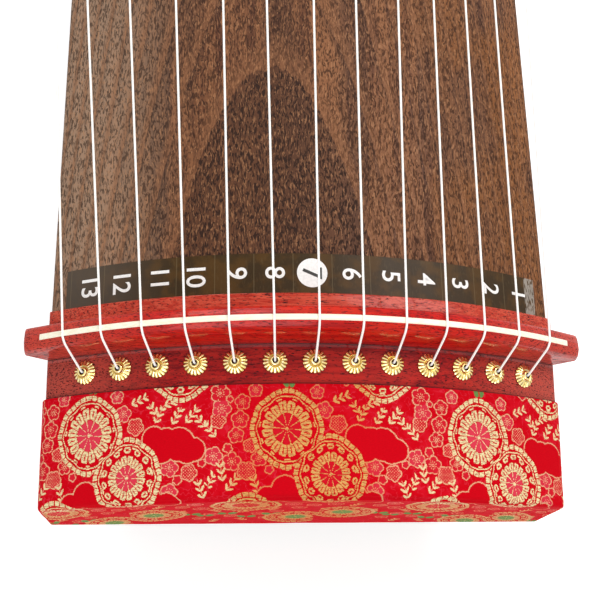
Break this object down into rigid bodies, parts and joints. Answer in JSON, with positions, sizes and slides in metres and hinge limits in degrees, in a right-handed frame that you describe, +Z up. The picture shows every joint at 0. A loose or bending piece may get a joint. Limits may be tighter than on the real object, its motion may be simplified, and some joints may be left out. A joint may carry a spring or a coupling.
{
  "type": "koto zither",
  "caption": "Long plucked zither: arched hollow wooden body on four feet, movable forked bridges, strings over two ridges, fluted metal string rosettes and a brocade cap on the head end.",
  "frame": {"origin": "on the floor, under the middle of the whole length", "axes": "+Z up, +Y along the strings towards the tail end, +X towards string 1, the one farthest from the player"},
  "size_m": [0.2726, 1.8294, 0.2026],
  "materials": {
    "scorched_wood": "scorched and brushed paulownia, waxed",
    "pale_wood": "plain paulownia",
    "red_hardwood": "polished red hardwood",
    "ivory": "polished imitation ivory",
    "gold_metal": "polished gold plate",
    "bridge_white": "polished white resin",
    "string_white": "twisted polyester string",
    "dark_film": "dark printed film",
    "brocade": "red and gold brocade"
  },
  "bodies": {
    "body": {"soundboard_shell": "scorched_wood", "back_board": "pale_wood", "head_brace": "pale_wood", "middle_brace": "pale_wood", "tail_brace": "pale_wood", "head_end_board": "pale_wood", "mouth_rim": "red_hardwood", "tongue": "red_hardwood", "head_plate": "red_hardwood", "head_ridge": "red_hardwood", "head_ridge_strip": "ivory", "tail_ridge": "red_hardwood", "tail_ridge_strip": "ivory", "tail_plate": "red_hardwood", "tail_cap": "red_hardwood", "head_rosette_01": "gold_metal", "head_rosette_02": "gold_metal", "head_rosette_03": "gold_metal", "head_rosette_04": "gold_metal", "head_rosette_05": "gold_metal", "head_rosette_06": "gold_metal", "head_rosette_07": "gold_metal", "head_rosette_08": "gold_metal", "head_rosette_09": "gold_metal", "head_rosette_10": "gold_metal", "head_rosette_11": "gold_metal", "head_rosette_12": "gold_metal", "head_rosette_13": "gold_metal", "string_01": "string_white", "string_02": "string_white", "string_03": "string_white", "string_04": "string_white", "string_05": "string_white", "string_06": "string_white", "string_07": "string_white", "string_08": "string_white", "string_09": "string_white", "string_10": "string_white", "string_11": "string_white", "string_12": "string_white", "string_13": "string_white", "number_label": "dark_film", "front_leg_left": "red_hardwood", "front_leg_right": "red_hardwood", "rear_foot_left": "red_hardwood", "rear_foot_right": "red_hardwood"},
    "cover": {"brocade_cover": "brocade"},
    "bridge_01": {"bridge_01": "bridge_white"},
    "bridge_02": {"bridge_02": "bridge_white"},
    "bridge_03": {"bridge_03": "bridge_white"},
    "bridge_04": {"bridge_04": "bridge_white"},
    "bridge_05": {"bridge_05": "bridge_white"},
    "bridge_06": {"bridge_06": "bridge_white"},
    "bridge_07": {"bridge_07": "bridge_white"},
    "bridge_08": {"bridge_08": "bridge_white"},
    "bridge_09": {"bridge_09": "bridge_white"},
    "bridge_10": {"bridge_10": "bridge_white"},
    "bridge_11": {"bridge_11": "bridge_white"},
    "bridge_12": {"bridge_12": "bridge_white"},
    "bridge_13": {"bridge_13": "bridge_white"}
  },
  "joints": [
    {"name": "cover_pull", "type": "slide", "parent": "body", "child": "cover", "axis": [0, -1, 0], "range_m": [0, 0.08]},
    {"name": "bridge_01_slide", "type": "slide", "parent": "body", "child": "bridge_01", "axis": [0, 0.9998, -0.0181], "range_m": [-0.04, 0.04], "deforming": ["string_01"]},
    {"name": "bridge_02_slide", "type": "slide", "parent": "body", "child": "bridge_02", "axis": [0, 0.9993, -0.038], "range_m": [-0.04, 0.04], "deforming": ["string_02"]},
    {"name": "bridge_03_slide", "type": "slide", "parent": "body", "child": "bridge_03", "axis": [0, 0.9995, -0.0315], "range_m": [-0.0205, 0.04], "deforming": ["string_03"]},
    {"name": "bridge_04_slide", "type": "slide", "parent": "body", "child": "bridge_04", "axis": [0, 0.9996, -0.0285], "range_m": [-0.04, 0.0205], "deforming": ["string_04"]},
    {"name": "bridge_05_slide", "type": "slide", "parent": "body", "child": "bridge_05", "axis": [0, 0.9998, -0.0181], "range_m": [-0.0135, 0.04], "deforming": ["string_05"]},
    {"name": "bridge_06_slide", "type": "slide", "parent": "body", "child": "bridge_06", "axis": [0, 0.9999, -0.0158], "range_m": [-0.04, 0.0135], "deforming": ["string_06"]},
    {"name": "bridge_07_slide", "type": "slide", "parent": "body", "child": "bridge_07", "axis": [0, 1, -0.008], "range_m": [-0.023, 0.04], "deforming": ["string_07"]},
    {"name": "bridge_08_slide", "type": "slide", "parent": "body", "child": "bridge_08", "axis": [0, 1, -0.0048], "range_m": [-0.0065, 0.023], "deforming": ["string_08"]},
    {"name": "bridge_09_slide", "type": "slide", "parent": "body", "child": "bridge_09", "axis": [0, 1, -0.0033], "range_m": [-0.04, 0.0065], "deforming": ["string_09"]},
    {"name": "bridge_10_slide", "type": "slide", "parent": "body", "child": "bridge_10", "axis": [0, 1, 0.0019], "range_m": [-0.0032, 0.04], "deforming": ["string_10"]},
    {"name": "bridge_11_slide", "type": "slide", "parent": "body", "child": "bridge_11", "axis": [0, 1, 0.0031], "range_m": [-0.029, 0.0032], "deforming": ["string_11"]},
    {"name": "bridge_12_slide", "type": "slide", "parent": "body", "child": "bridge_12", "axis": [0, 1, 0.007], "range_m": [-0.008, 0.029], "deforming": ["string_12"]},
    {"name": "bridge_13_slide", "type": "slide", "parent": "body", "child": "bridge_13", "axis": [0, 1, 0.0086], "range_m": [-0.04, 0.008], "deforming": ["string_13"]}
  ]
}
